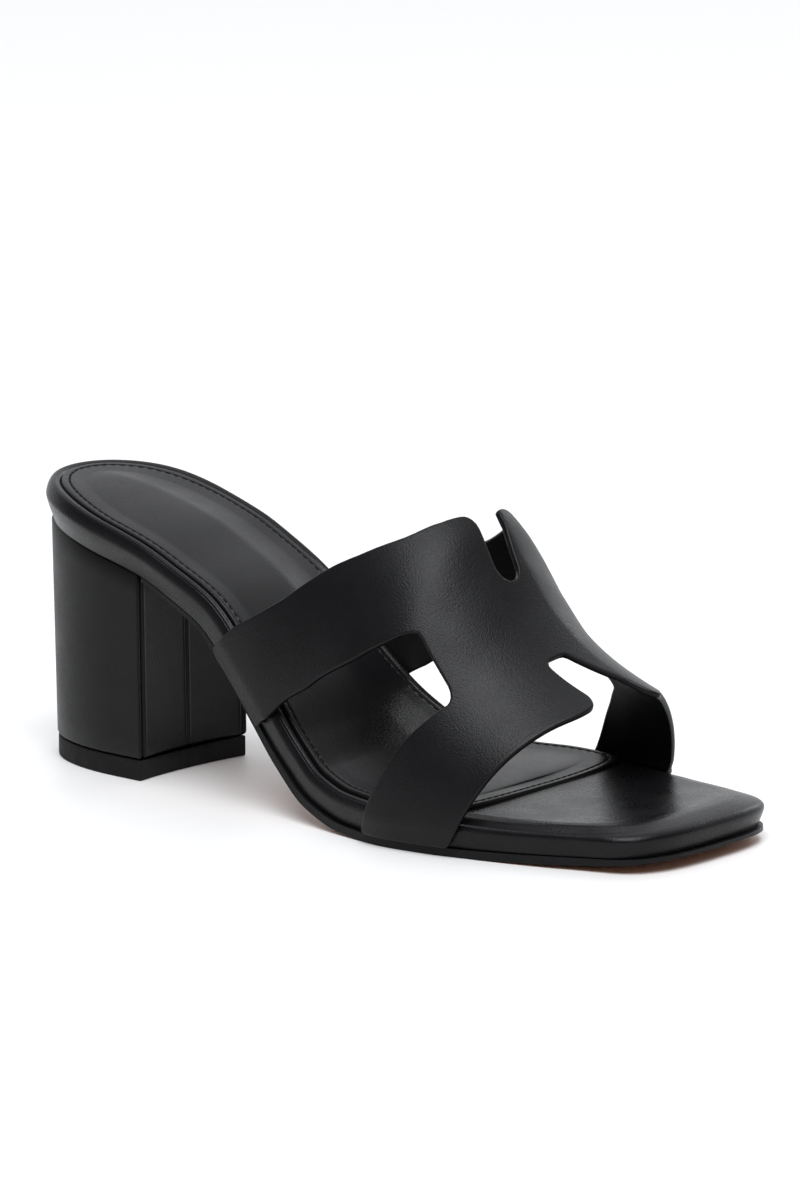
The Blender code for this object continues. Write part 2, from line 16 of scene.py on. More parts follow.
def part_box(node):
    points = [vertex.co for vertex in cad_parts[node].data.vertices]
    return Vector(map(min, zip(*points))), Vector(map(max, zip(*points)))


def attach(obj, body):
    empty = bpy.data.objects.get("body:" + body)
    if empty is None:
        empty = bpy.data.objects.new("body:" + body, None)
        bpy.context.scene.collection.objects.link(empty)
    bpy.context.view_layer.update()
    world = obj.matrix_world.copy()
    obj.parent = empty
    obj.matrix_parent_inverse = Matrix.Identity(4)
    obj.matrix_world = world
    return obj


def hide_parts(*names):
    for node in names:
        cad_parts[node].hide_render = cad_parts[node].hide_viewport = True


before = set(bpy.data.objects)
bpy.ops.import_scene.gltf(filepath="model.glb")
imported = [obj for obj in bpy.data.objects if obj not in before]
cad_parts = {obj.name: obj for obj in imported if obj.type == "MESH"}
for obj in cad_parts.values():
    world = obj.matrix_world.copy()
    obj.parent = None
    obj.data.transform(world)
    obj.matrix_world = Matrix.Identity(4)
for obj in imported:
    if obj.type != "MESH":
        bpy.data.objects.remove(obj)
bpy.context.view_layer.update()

MM = 0.001
GAP = 0.3
BODY = "root"

# The sole, as in the part. One row per station along the foot: the underside of the footbed, the widest
# line of its side on the outer and the inner half, how far the side slopes in below that line, the height
# of the rolled rim, how much the inner edge is raised and how much thicker the footbed is along it.
SOLE_COLUMNS = ("x", "height", "lateral", "medial", "undercut", "rim", "raise_medial", "thicker_medial")
SOLE = (
    (-2, 71.2, -27.0, 27.4, 2.6, 12.4, 1.3, 0.0),
    (15, 68.6, -27.3, 27.8, 3.6, 12.0, 1.3, 0.0),
    (32, 64.9, -27.0, 28.0, 4.0, 11.2, 1.0, 0.1),
    (48, 60.7, -26.2, 28.0, 3.8, 10.5, 1.0, 0.1),
    (60, 56.0, -25.8, 27.8, 3.0, 10.1, 0.8, 0.1),
    (72, 50.6, -25.8, 27.0, 2.2, 9.9, 0.4, 0.1),
    (84, 40.6, -26.7, 26.9, 1.8, 9.5, 0.1, 0.1),
    (96, 28.4, -27.9, 29.4, 1.8, 9.2, 0.0, 0.1),
    (108, 16.2, -29.2, 35.0, 1.8, 9.0, 0.2, 0.2),
    (120, 7.4, -30.8, 40.4, 1.8, 8.9, 0.6, 0.4),
    (135, 3.4, -32.9, 45.6, 1.8, 9.0, 1.5, 0.8),
    (150, 2.7, -34.3, 50.0, 1.8, 9.1, 1.3, 1.2),
    (165, 2.7, -32.7, 52.2, 1.7, 9.2, 0.2, 1.5),
    (172, 2.7, -31.2, 52.6, 1.6, 9.2, 0.0, 1.3),
    (190, 3.2, -26.7, 52.3, 1.5, 8.6, 0.0, 0.5),
    (200, 3.6, -23.6, 51.2, 1.5, 8.5, 0.0, 0.1),
    (212, 4.1, -19.2, 49.4, 1.5, 8.5, 0.0, 0.0),
    (234, 5.2, -12.4, 46.6, 1.5, 9.4, 0.0, 0.0),
)
# Ends of the sole: where they lie, how long and how full their rounding is, how the toe turns.
HEEL_BACK = -0.7
TOE_TIP = 231.2
HEEL_CAP = 34.0
HEEL_POWER = 2.1
TOE_CAP = 15.0
TOE_POWER = 3.0
TOE_TURN = 1.0
TURN_LENGTH = 40.0
# Place across where nearness to an edge stops growing; 1 is the widest line.
NEARNESS_LIMIT = 1.2
# Share of the rim height up to which the strap ends follow the footbed's side.
SKIRT_RISE = 0.66

# The outsole: its thickness, and how far its edge lies inside the widest line.
OUTSOLE_COLUMNS = ("x", "thickness", "margin")
OUTSOLE = (
    (46, 1.2, 4.2),
    (72, 1.4, 2.2),
    (96, 1.9, 1.2),
    (120, 2.3, 0.7),
    (140, 2.4, 0.6),
    (172, 2.4, 0.8),
    (200, 2.4, 1.1),
    (212, 2.1, 1.1),
    (222, 1.7, 1.2),
    (234, 0.9, 1.2),
)

# Plan of the sock.
SOCK_MARGIN = 3.5
SOCK_TIP = 172.6
SOCK_TOE_CAP = 9.0
SOCK_TOE_POWER = 4.2
SOCK_TURN = 0.9

# The heel block, the top piece under it and the outsole end at the breast.
HEEL_LENGTH = 47.0
HEEL_WIDTH = 44.4
HEEL_BREAST = 48.5
HEEL_BACK_CAP = 36.0
BREAST_HOLLOW = 1.6
BREAST_TURN = 0.6
BREAST_BLEND = 14.0
OUTSOLE_END_GAP = 1.0
HEEL_LEAN_BACK = 1.9
HEEL_LEAN_BREAST = 0.9
LIFT_HEIGHT = 6.0
LIFT_INSET = 0.3

# The last under the upper: height of its ridge, how far the ridge lies inwards of the middle, and how full
# the inner half is. From station 150 to 190 the inner half is a little less full than in the part.
LAST_COLUMNS = ("x", "ridge", "offset", "fullness")
LAST = (
    (70, 114.0, 5.0, 2.0),
    (90, 111.0, 5.5, 2.0),
    (110, 107.0, 6.0, 1.9),
    (130, 100.5, 6.5, 1.75),
    (150, 87.8, 7.0, 1.64),
    (160, 74.8, 5.8, 1.51),
    (170, 62.0, 5.0, 1.47),
    (180, 52.8, 5.5, 1.53),
    (190, 46.4, 6.5, 1.59),
    (200, 42.0, 7.5, 1.60),
    (215, 37.0, 8.0, 1.60),
)
# Thickness of the leather, its distance from the footbed's side, the share of the girth that lies beside the
# footbed, and how full the outer half is.
LEATHER = 2.0
STRAP_GAP = 0.45
SKIRT = 0.05
FULLNESS_LATERAL = 2.0

# The cut of the upper: girth from the sole line (0) to the ridge (0.5), then the stations of its edges.
STRAP_COLUMNS = ("girth", "back", "cut_rear", "cut_front", "front")
STRAPS_LATERAL = (
    (0.00, 80.0, 99.0, 143.4, 173.0),
    (0.05, 85.0, 104.0, 146.2, 177.0),
    (0.10, 91.7, 112.0, 152.8, 180.8),
    (0.15, 100.3, 124.0, 158.8, 184.3),
    (0.20, 109.5, 139.5, 164.6, 187.5),
    (0.25, 119.2, 150.5, 169.0, 190.6),
    (0.30, 131.4, 155.0, 172.0, 193.6),
    (0.35, 140.6, 155.0, 172.0, 196.6),
    (0.40, 145.4, 155.0, 172.0, 198.5),
)
STRAPS_MEDIAL = (
    (0.00, 80.0, 97.5, 152.0, 177.5),
    (0.05, 85.5, 102.5, 154.0, 181.0),
    (0.10, 92.5, 110.5, 157.5, 183.5),
    (0.15, 102.0, 122.0, 161.5, 185.8),
    (0.20, 112.0, 137.0, 166.5, 188.1),
    (0.25, 122.0, 149.0, 171.0, 190.3),
    (0.30, 134.2, 154.0, 174.0, 192.5),
    (0.35, 142.5, 154.0, 174.0, 194.9),
    (0.40, 147.4, 154.0, 174.0, 197.9),
)
LOBE_START_LATERAL = 0.36
LOBE_START_MEDIAL = 0.37
THROAT_END = 0.40
CUT_FRONT_END = 0.21
CUT_REAR_END = 0.24
# Corners of the cut: station, girth from the outer sole line (0) to the inner (1), rounding radius.
# The front corner of the inner cut-out lies a little higher than in the part.
LATERAL_LOBE = (198.0, 0.405, 5.0)
NOTCH = ((180.0, 0.408, 2.0), (180.6, 0.455, 2.0))
MEDIAL_LOBE = (204.5, 0.540, 9.0)
MEDIAL_THROAT = (150.4, 0.505, 2.6)
SLOT = ((162.6, 0.479, 3.2), (162.4, 0.436, 3.2))
LATERAL_THROAT = (148.9, 0.452, 4.0)
CUT_TOP_REAR_LATERAL = (154.3, 0.266, 1.0)
CUT_TOP_FRONT_LATERAL = (169.0, 0.245, 3.0)
CUT_TOP_REAR_MEDIAL = (154.5, 0.734, 1.0)
CUT_TOP_FRONT_MEDIAL = (173.0, 0.738, 3.0)
FOOT_CORNER = 1.8
# Length that the whole girth has in the flat chart of the upper.
GIRTH_LENGTH = 180.0

# Cross section of the footbed's wrapped edge. The share of the undercut still to come, then inset and share
# of the rim height from the heel to the ball and again at the toe, and the shares of groove, welt line,
# crease and drop.
WRAP = (
    (1.00, 0.00, 0.00, 0.0, 0.00, 0.0, 0.0, 0.0, 0.0),
    (0.70, 0.00, 0.18, 0.0, 0.15, 0.0, 0.0, 0.0, 0.0),
    (0.40, 0.00, 0.36, 0.0, 0.30, 0.0, 0.0, 0.0, 0.0),
    (0.12, 0.00, 0.55, 0.0, 0.46, 0.0, 0.0, 0.0, 0.0),
    (0.00, 0.00, 0.66, 0.0, 0.56, 0.0, 0.0, 0.0, 0.0),
    (0.00, 0.10, 0.76, 0.1, 0.65, 0.0, 0.0, 0.0, 0.0),
    (0.00, 0.35, 0.86, 0.4, 0.72, 0.0, 0.0, 0.0, 0.0),
    (0.00, 0.62, 0.92, 0.9, 0.775, 0.0, 0.1, 0.3, 0.0),
    (0.00, 0.80, 0.945, 1.4, 0.81, 0.0, 1.0, 0.8, 0.0),
    (0.00, 1.00, 0.97, 1.9, 0.845, 0.0, 0.1, 1.0, 0.0),
    (0.00, 1.60, 1.00, 2.6, 0.885, 0.0, 0.0, 0.6, 0.0),
    (0.00, 2.20, 1.00, 3.4, 0.93, 0.2, 0.0, 0.15, 0.0),
    (0.00, 2.70, 1.00, 4.4, 0.965, 0.8, 0.0, 0.0, 0.0),
    (0.00, 3.05, 1.00, 5.6, 0.985, 1.0, 0.0, 0.0, 0.1),
    (0.00, 3.60, 1.00, 6.8, 1.00, 0.8, 0.0, 0.0, 0.45),
    (0.00, 4.60, 1.00, 7.8, 1.00, 0.0, 0.0, 0.0, 1.0),
    (0.00, 6.60, 1.00, 8.8, 1.00, 0.0, 0.0, 0.0, 1.0),
)
# Along the foot: share of the toe section, depth of the groove beside the sock, of the fine welt line on the
# roll and of the crease along the outer side of the toe, drop of the top below the rim, and how much rounder
# the roll is at the tip.
BED_COLUMNS = ("x", "toe", "groove", "welt", "crease", "drop", "round")
BED = (
    (-2, 0.0, 0.25, 0.00, 0.0, 1.6, 0.0),
    (30, 0.0, 0.35, 0.00, 0.0, 1.6, 0.0),
    (50, 0.0, 0.40, 0.06, 0.0, 1.6, 0.0),
    (75, 0.0, 0.50, 0.30, 0.0, 1.6, 0.0),
    (100, 0.0, 0.50, 0.34, 0.0, 1.5, 0.0),
    (130, 0.0, 0.50, 0.25, 0.0, 1.3, 0.0),
    (150, 0.1, 0.40, 0.10, 0.2, 0.8, 0.0),
    (165, 0.6, 0.20, 0.00, 0.7, 0.4, 0.0),
    (175, 1.0, 0.00, 0.00, 0.9, 0.1, 0.0),
    (195, 1.0, 0.00, 0.00, 0.9, 0.0, 0.0),
    (208, 1.0, 0.00, 0.00, 0.8, 0.0, 0.4),
    (220, 1.0, 0.00, 0.00, 0.2, 0.0, 2.0),
    (234, 1.0, 0.00, 0.00, 0.0, 0.0, 3.6),
)
# Share of the rim height from which the roll at the tip is rounder.
ROUND_FROM = 0.42

# The padded sock: its edge over the rim, its crown, and its underside below the rim.
SOCK_COLUMNS = ("x", "above_rim", "crown", "under_rim")
SOCK = (
    (-2, 0.15, 1.8, 0.9),
    (30, 0.15, 2.3, 0.9),
    (50, 0.2, 2.6, 0.9),
    (75, 0.25, 2.5, 1.0),
    (100, 0.45, 1.5, 0.9),
    (130, 0.8, 0.7, 0.7),
    (150, 1.0, 0.4, 0.5),
    (180, 1.1, 0.1, 0.1),
    (200, 1.1, 0.1, 0.1),
)
# Where the cushion's crest lies across the sock, from the outer side, and how it falls away towards the
# inner side.
CREST = 0.66
CREST_FALL = 1.3
# Cross section of the sock's edge with its sunk stitch line: distance inwards, drop below the edge height.
SOCK_EDGE = (
    (0.00, 0.80),
    (0.10, 0.40),
    (0.35, 0.12),
    (0.75, 0.00),
    (1.40, 0.00),
    (1.80, 0.08),
    (2.10, 0.30),
    (2.40, 0.08),
    (2.90, 0.00),
    (4.20, 0.00),
    (5.60, 0.00),
    (6.60, 0.00),
)
# Stitches: how far inside the edge and below it they lie, their size, the share of a half turn left off at
# each end, how blunt the ends are, and how far they dip there in thread radii.
STITCH_DISTANCE = 2.1
STITCH_DROP = 0.12
STITCH_PITCH = 2.7
STITCH_LENGTH = 2.0
STITCH_RADIUS = 0.32
STITCH_CUT = 0.04
STITCH_BLUNT = 0.5
STITCH_DIP = 0.3
# Width of a ring below which its sag fades.
SAG_FADE = 40.0

# Edge of the upper: distance from the cut, in the leather's surface, and how square the edge is.
EDGE_RINGS = (0.0, 0.05, 0.17, 0.38, 0.7, 1.2)
EDGE_ROUND = 0.7
EDGE_SQUARE = 2.6
# Soft folds of the upper, each with its course (station, girth), half width and height.
FOLDS = (
    (((163.0, 0.962), (178.0, 0.958), (192.0, 0.950)), 1.5, -0.45),
    (((160.0, 0.940), (176.0, 0.934), (194.0, 0.926)), 1.8, 0.40),
    (((164.0, 0.918), (180.0, 0.910), (192.0, 0.904)), 1.8, -0.35),
    (((104.0, 0.935), (118.0, 0.915)), 2.0, -0.35),
    (((110.0, 0.890), (126.0, 0.872)), 2.4, 0.35),
)

# Seams of the heel's breast: place across, half width and depth. Then the height of the slight welt beside a
# seam and how many half widths away it lies.
BREAST_SEAMS = ((-0.9, 0.32, 0.55), (-20.5, 0.42, 1.30), (20.5, 0.42, 1.30))
SEAM_WELT = 0.14
WELT_AWAY = 2.4
# Rounding of the breast's corners, and how many radii the breast stays away from them.
BREAST_CORNER = 0.5
CORNER_CLEAR = 2.5
# Softened edges of the heel and of its top piece: distance inwards and rise.
HEEL_EDGE = ((1.10, 0.0), (0.36, 0.28), (0.0, 0.95))
LIFT_EDGE = ((0.5, 0.0), (0.14, 0.14), (0.0, 0.5))
OUTSOLE_BEVEL = 0.35

# Mesh steps.
CAP_STEPS = 28
MID_STEPS = 120
CROSS_STEPS = 24
PROFILE_STEPS = 4
BREAST_STEPS = 160
SIDE_STEPS = 8
STRAP_EDGE_STEPS = 30
ARC_STEPS = 8
BORDER_STEP = 1.2
FILL_STEP = 1.7
FILL_CLEAR = 1.9
STITCH_RINGS = 6
STITCH_SIDES = 8
HEEL_HEIGHT_STEPS = 10
LIFT_HEIGHT_STEPS = 2
BEVEL_SEGMENTS = 3
# Edges that turn by more than this, in degrees, stay sharp in the shading or are bevelled.
SHARP_ANGLE = 55.0
# Points nearer than this are one point, in the upper's chart (millimetres) and in a piece (metres).
CHART_MERGE = 1e-5
PIECE_MERGE = 1e-7
# Output of the triangulation: only what lies inside the outline.
INSIDE_ONLY = 1

# The photograph's camera: size of the picture and focal length in its pixels, view angles in degrees, and the
# pixel where a known point of the shoe appears.
PICTURE = (800, 1200)
FOCAL_PIXELS = 12000.0
PIXELS_PER_MM = 3.5
CAMERA_AZIMUTH = 41.5
CAMERA_ELEVATION = 12.8
KNOWN_POINT = (48.5, -22.0, 0.0)
KNOWN_PIXEL = (141.0, 781.9)
# Width of the sensor in millimetres, and the nearest and farthest distance in view in metres.
SENSOR_MM = 36.0
CLIP = (0.05, 100.0)


class Curve:
    """Smooth curve through the rows of a table that never overshoots them (monotone cubic)."""

    def __init__(self, positions, values):
        self.positions = np.asarray(positions, float)
        self.values = np.asarray(values, float)
        steps = np.diff(self.positions)
        secants = np.diff(self.values) / steps
        tangents = np.zeros(len(self.positions))
        for i in range(1, len(tangents) - 1):
            if secants[i - 1] * secants[i] > 0:
                before = 2 * steps[i] + steps[i - 1]
                after = steps[i] + 2 * steps[i - 1]
                tangents[i] = (before + after) / (before / secants[i - 1] + after / secants[i])
        tangents[0] = secants[0]
        tangents[-1] = secants[-1]
        self.tangents = tangents

    def __call__(self, position):
        position = np.clip(position, self.positions[0], self.positions[-1])
        i = np.clip(np.searchsorted(self.positions, position) - 1, 0, len(self.positions) - 2)
        step = self.positions[i + 1] - self.positions[i]
        t = (position - self.positions[i]) / step
        ends = (1 + 2 * t) * (1 - t) ** 2 * self.values[i] + t * t * (3 - 2 * t) * self.values[i + 1]
        leans = t * (1 - t) ** 2 * self.tangents[i] + t * t * (t - 1) * self.tangents[i + 1]
        return ends + step * leans


def columns(names, rows):
    """Curves of a table's columns over its first one, by name."""
    table = np.array(rows, float)
    return {name: Curve(table[:, 0], table[:, k]) for k, name in enumerate(names)}


sole = columns(SOLE_COLUMNS, SOLE)
outsole_sizes = columns(OUTSOLE_COLUMNS, OUTSOLE)
bed_sizes = columns(BED_COLUMNS, BED)
sock_sizes = columns(SOCK_COLUMNS, SOCK)
last = columns(LAST_COLUMNS, LAST)


def find_shift():
    """Where the working frame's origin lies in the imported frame, read from the heel's lift."""
    low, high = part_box("heel_lift")
    back = HEEL_BREAST - HEEL_LENGTH + LIFT_INSET
    return np.array([back - low.x / MM, -0.5 * (low.y + high.y) / MM, 0.0])


SHIFT = find_shift()


def to_frame(points):
    """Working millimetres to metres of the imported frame."""
    return (np.asarray(points, float) - SHIFT) * MM


def slope(x):
    """Steepness of the footbed's underside along the foot."""
    reach = 0.5
    return (sole["height"](x + reach) - sole["height"](x - reach)) / (2 * reach)


def nearness(x, y, side):
    """How near a plan point lies to the outer (-1) or inner (1) edge: 0 on the other half, 1 at the edge."""
    middle = 0.5 * (sole["lateral"](x) + sole["medial"](x))
    half = 0.5 * (sole["medial"](x) - sole["lateral"](x))
    return np.clip(side * (y - middle) / half, 0, NEARNESS_LIMIT) ** 2


def underside(x, y):
    """Height of the footbed's underside at a plan point."""
    return sole["height"](x) + sole["raise_medial"](x) * nearness(x, y, 1)


def lift(plan, rise):
    """Plan points raised square to the footbed's long profile."""
    x, y = plan[:, 0], plan[:, 1]
    lean = slope(x)
    upright = 1 / np.sqrt(1 + lean**2)
    thicker = sole["thicker_medial"](x) * nearness(x, y, 1) * np.clip(rise / sole["rim"](x), 0, 1)
    raised = (rise + thicker) * upright
    return np.column_stack([x - lean * raised, y, underside(x, y) + raised])


def cap(steps, power):
    """Shares of length and of width along a rounded end, from its tip to full width, evenly spaced."""
    t = np.linspace(0, 1, steps + 1)
    q = 0.5 * power
    angle = 0.5 * pi * t**q / (t**q + (1 - t) ** q)
    along = 1 - np.clip(np.cos(angle), 0, 1) ** (2 / power)
    wide = np.sin(angle) ** (2 / power)
    return along, wide


def side_points(x, across, tip, turn, margin):
    """Plan points at stations; across runs from -1 at the outer edge to 1 at the inner one."""
    outer = sole["lateral"](x) + margin
    inner = sole["medial"](x) - margin
    near_toe = np.clip((x - tip + TURN_LENGTH) / TURN_LENGTH, 0, 1) ** 2
    y = 0.5 * (outer + inner) + 0.5 * across * (inner - outer)
    return np.column_stack([x - turn * across * near_toe, y])


def outline(back, tip, toe_cap, toe_power, turn, margin):
    """Closed plan outline, outer side forwards and inner side back, a margin(x) inside the widest line."""
    rear_along, rear_wide = cap(CAP_STEPS, HEEL_POWER)
    front_along, front_wide = cap(CAP_STEPS, toe_power)
    rear = back + HEEL_CAP * rear_along
    front = (tip - toe_cap * front_along)[::-1]
    straight = np.linspace(rear[-1], front[0], MID_STEPS + 1)[1:-1]
    x = np.concatenate([rear, straight, front])
    wide = np.concatenate([rear_wide, np.ones(len(straight)), front_wide[::-1]])
    outer = side_points(x, -wide, tip, turn, margin(x))
    inner = side_points(x, wide, tip, turn, margin(x))
    return np.vstack([outer, inner[-2:0:-1]])


def inset(plan, distance):
    """Closed outline moved inwards by a small distance."""
    along = np.roll(plan, -1, axis=0) - np.roll(plan, 1, axis=0)
    along /= np.linalg.norm(along, axis=1, keepdims=True)
    return plan + distance * np.column_stack([-along[:, 1], along[:, 0]])


def smooth_rows(rows, steps):
    """Rows of a section with smooth in-between rows (Catmull-Rom)."""
    table = np.array(rows, float)
    padded = np.vstack([2 * table[0] - table[1], table, 2 * table[-1] - table[-2]])
    dense = []
    for a, b, c, d in zip(padded, padded[1:], padded[2:], padded[3:]):
        for t in np.arange(steps) / steps:
            bend = (2 * a - 5 * b + 4 * c - d) * t**2 + (3 * b - a - 3 * c + d) * t**3
            dense.append(0.5 * (2 * b + (c - a) * t + bend))
    return dense + [table[-1]]


class Shell:
    """Points and faces of one piece, each face with the number of its material."""

    def __init__(self):
        self.points = []
        self.faces = []
        self.slots = []

    def add(self, points):
        start = len(self.points)
        self.points.extend(np.asarray(points, float).tolist())
        return list(range(start, len(self.points)))

    def face(self, corners, slot=0):
        self.faces.append(tuple(corners))
        self.slots.append(slot)

    def band(self, first, second, slot=0):
        """Closed band of quads between two rings of indices."""
        for k in range(len(first)):
            n = (k + 1) % len(first)
            self.face((first[k], first[n], second[n], second[k]), slot)

    def bands(self, rings, slot=0):
        """Rings of points joined one to the next; returns the first and last ring's indices."""
        indices = [self.add(ring) for ring in rings]
        for first, second in zip(indices, indices[1:]):
            self.band(first, second, slot)
        return indices[0], indices[-1]

    def fill(self, ring_indices, ring_points, sag):
        """Cross strips inside a ring, lowered by sag(x, share across), less so where the ring narrows."""
        half = len(ring_points) // 2
        shares = np.linspace(0, 1, CROSS_STEPS + 1)[:, None]
        strips = []
        for i in range(1, half):
            row = ring_points[i] * (1 - shares) + ring_points[-i] * shares
            middle = row[1:-1].copy()
            fade = min(1.0, np.ptp(row[:, 1]) / SAG_FADE) ** 2
            middle[:, 2] -= fade * sag(middle[:, 0], shares[1:-1, 0])
            strips.append([ring_indices[i]] + self.add(middle) + [ring_indices[-i]])
        for a, b in zip(strips, strips[1:]):
            for k in range(CROSS_STEPS):
                self.face((a[k], a[k + 1], b[k + 1], b[k]))
        for tip, strip in ((ring_indices[0], strips[0]), (ring_indices[half], strips[-1])):
            for k in range(CROSS_STEPS):
                self.face((tip, strip[k], strip[k + 1]))


def no_sag(x, across):
    return np.zeros(len(across))


def wrap_ring(row):
    """One line of the footbed's wrapped edge."""
    undercut, rear_inset, rear_rise, toe_inset, toe_rise, groove, welt, crease, drop = row
    rounder = max(0.0, (toe_rise - ROUND_FROM) / (1 - ROUND_FROM)) ** 2

    def distance(x):
        toe = bed_sizes["toe"](x)
        rolled = rear_inset * (1 - toe) + toe_inset * toe + rounder * bed_sizes["round"](x)
        return sole["undercut"](x) * undercut + rolled

    back = HEEL_BACK + float(distance(HEEL_BACK))
    tip = TOE_TIP - float(distance(TOE_TIP))
    plan = outline(back, tip, TOE_CAP, TOE_POWER, TOE_TURN, distance)
    x = plan[:, 0]
    toe = bed_sizes["toe"](x)
    height = sole["rim"](x) * (rear_rise * (1 - toe) + toe_rise * toe)
    sunk = groove * bed_sizes["groove"](x) + welt * bed_sizes["welt"](x) + drop * bed_sizes["drop"](x)
    sunk += crease * bed_sizes["crease"](x) * nearness(x, plan[:, 1], -1)
    return lift(plan, height - sunk)


def make_footbed():
    """Wrapped board: sloping side, rolled rim with its fine lines, and the top that shows at the toe."""
    shell = Shell()
    rings = [wrap_ring(row) for row in smooth_rows(WRAP, PROFILE_STEPS)]
    first, final = shell.bands(rings)
    shell.fill(first, rings[0], no_sag)
    shell.fill(final, rings[-1], no_sag)
    return shell


def sock_ring(distance, drop):
    """One line of the sock, a distance inside its edge."""
    margin = SOCK_MARGIN + distance
    plan = outline(
        HEEL_BACK + margin,
        SOCK_TIP - distance,
        SOCK_TOE_CAP,
        SOCK_TOE_POWER,
        SOCK_TURN,
        lambda x: margin + 0 * x,
    )
    x = plan[:, 0]
    return lift(plan, sole["rim"](x) + sock_sizes["above_rim"](x) - drop)


def make_sock():
    """Padded sock with a soft edge, a sunk stitch line and a top crowned like a cushion."""
    shell = Shell()
    rings = [sock_ring(*row) for row in smooth_rows(SOCK_EDGE, PROFILE_STEPS)]
    first, final = shell.bands(rings)
    plan = sock_outline_floor(rings[0])
    floor = shell.add(plan)
    shell.band(floor, first)
    shell.fill(floor, plan, no_sag)
    shell.fill(final, rings[-1], sock_crown)
    return shell


def sock_outline_floor(edge):
    """Ring under the sock's edge, on the footbed."""
    x = edge[:, 0]
    lean = slope(x)
    upright = 1 / np.sqrt(1 + lean**2)
    depth = sock_sizes["above_rim"](x) + sock_sizes["under_rim"](x) - SOCK_EDGE[0][1]
    return edge - depth[:, None] * np.column_stack([-lean * upright, np.zeros(len(x)), upright])


def sock_crown(x, across):
    """Cushion of the sock, as a negative sag."""
    near = np.clip(across / CREST, 0, 1)
    far = np.clip((1 - across) / (1 - CREST), 0, 1)
    return -sock_sizes["crown"](x) * near * (2 - near) * far**CREST_FALL


def make_stitches():
    """Short thread stitches lying in the sock's stitch line."""
    path = sock_ring(STITCH_DISTANCE, STITCH_DROP)
    closed = np.vstack([path, path[:1]])
    lengths = np.concatenate([[0], np.cumsum(np.linalg.norm(np.diff(closed, axis=0), axis=1))])
    count = int(lengths[-1] / STITCH_PITCH)
    centres = (np.arange(count) + 0.5) * lengths[-1] / count
    shell = Shell()
    for centre in centres:
        spots = [(centre + STITCH_LENGTH * share) % lengths[-1] for share in (-0.5, 0.0, 0.5)]
        start, middle, end = np.column_stack([np.interp(spots, lengths, closed[:, k]) for k in range(3)])
        add_stitch(shell, start, middle, end)
    return shell


def add_stitch(shell, start, middle, end):
    """One stitch: a rounded thread that dips into the leather at both ends."""
    along = (end - start) / np.linalg.norm(end - start)
    across = np.cross((0, 0, 1), along)
    across /= np.linalg.norm(across)
    up = np.cross(along, across)
    rings = []
    for k in range(STITCH_RINGS + 1):
        angle = pi * (STITCH_CUT + (1 - 2 * STITCH_CUT) * k / STITCH_RINGS)
        radius = STITCH_RADIUS * sin(angle) ** STITCH_BLUNT
        ahead = -0.5 * STITCH_LENGTH * cos(angle)
        dip = STITCH_DIP * STITCH_RADIUS * cos(angle) ** 2
        centre = middle + ahead * along - dip * up
        turns = 2 * pi * np.arange(STITCH_SIDES) / STITCH_SIDES
        rings.append(centre + radius * (np.cos(turns)[:, None] * across + np.sin(turns)[:, None] * up))
    first, final = shell.bands(rings)
    shell.face(first)
    shell.face(final[::-1])


def breast_x(y):
    """Station of the heel's hollow front face."""
    across = y / (0.5 * HEEL_WIDTH)
    return HEEL_BREAST + BREAST_TURN * (1 + across) - BREAST_HOLLOW * (1 - across**2)


def heel_outline(shrink, seams):
    """Closed D shaped plan of the heel: back, outer side, breast, inner side."""
    half = 0.5 * HEEL_WIDTH - shrink
    back = HEEL_BREAST - HEEL_LENGTH + shrink
    along, wide = cap(CAP_STEPS, HEEL_POWER)
    side_x = back + HEEL_BACK_CAP * along
    corner_x = {s: breast_x(s * half) - shrink for s in (-1, 1)}
    run = []
    for x, w in zip(side_x, wide):
        run.append((x, -w * half, 0.0))
    for x in np.linspace(side_x[-1], corner_x[-1], SIDE_STEPS + 1)[1:-1]:
        run.append((x, -half, 0.0))
    run.append((corner_x[-1], -half, BREAST_CORNER))
    reach = half - CORNER_CLEAR * BREAST_CORNER
    for y in np.linspace(-reach, reach, BREAST_STEPS + 1):
        run.append((breast_x(y) - shrink - seam_depth(y, seams), y, 0.0))
    run.append((corner_x[1], half, BREAST_CORNER))
    for x in np.linspace(corner_x[1], side_x[-1], SIDE_STEPS + 1)[1:-1]:
        run.append((x, half, 0.0))
    for x, w in zip(side_x[:0:-1], wide[:0:-1]):
        run.append((x, w * half, 0.0))
    return np.array([tuple(p) for p in rounded([(Vector((x, y)), r) for x, y, r in run])])


def seam_depth(y, seams):
    """How far the breast lies back at a seam, with a slight welt beside it."""
    depth = 0.0
    for place, width, sunk in seams:
        away = (y - place) / width
        depth += sunk * np.exp(-(away**2)) - SEAM_WELT * np.exp(-((abs(away) - WELT_AWAY) ** 2))
    return depth


def leaned(plan):
    """Heel plan moved back as at the heel's top."""
    share = (plan[:, 0] - HEEL_BREAST + HEEL_LENGTH) / HEEL_LENGTH
    return plan - np.column_stack([HEEL_LEAN_BACK * (1 - share) + HEEL_LEAN_BREAST * share, 0 * share])


def block(foot, head, bottom, top, edge, steps):
    """Block between a lower and an upper plan with softened edges; bottom and top are functions of a plan."""
    shell = Shell()
    rings = []
    for distance, rise in edge:
        moved = inset(foot, distance)
        rings.append(np.column_stack([moved, bottom(moved) + rise]))
    low = np.column_stack([foot, bottom(foot) + edge[-1][1]])
    high = np.column_stack([head, top(head) - edge[-1][1]])
    for share in np.linspace(0, 1, steps + 1)[1:]:
        rings.append(low + share * (high - low))
    for distance, rise in edge[-2::-1]:
        moved = inset(head, distance)
        rings.append(np.column_stack([moved, top(moved) - rise]))
    first, final = shell.bands(rings)
    shell.face(first[::-1])
    shell.face(final)
    return shell


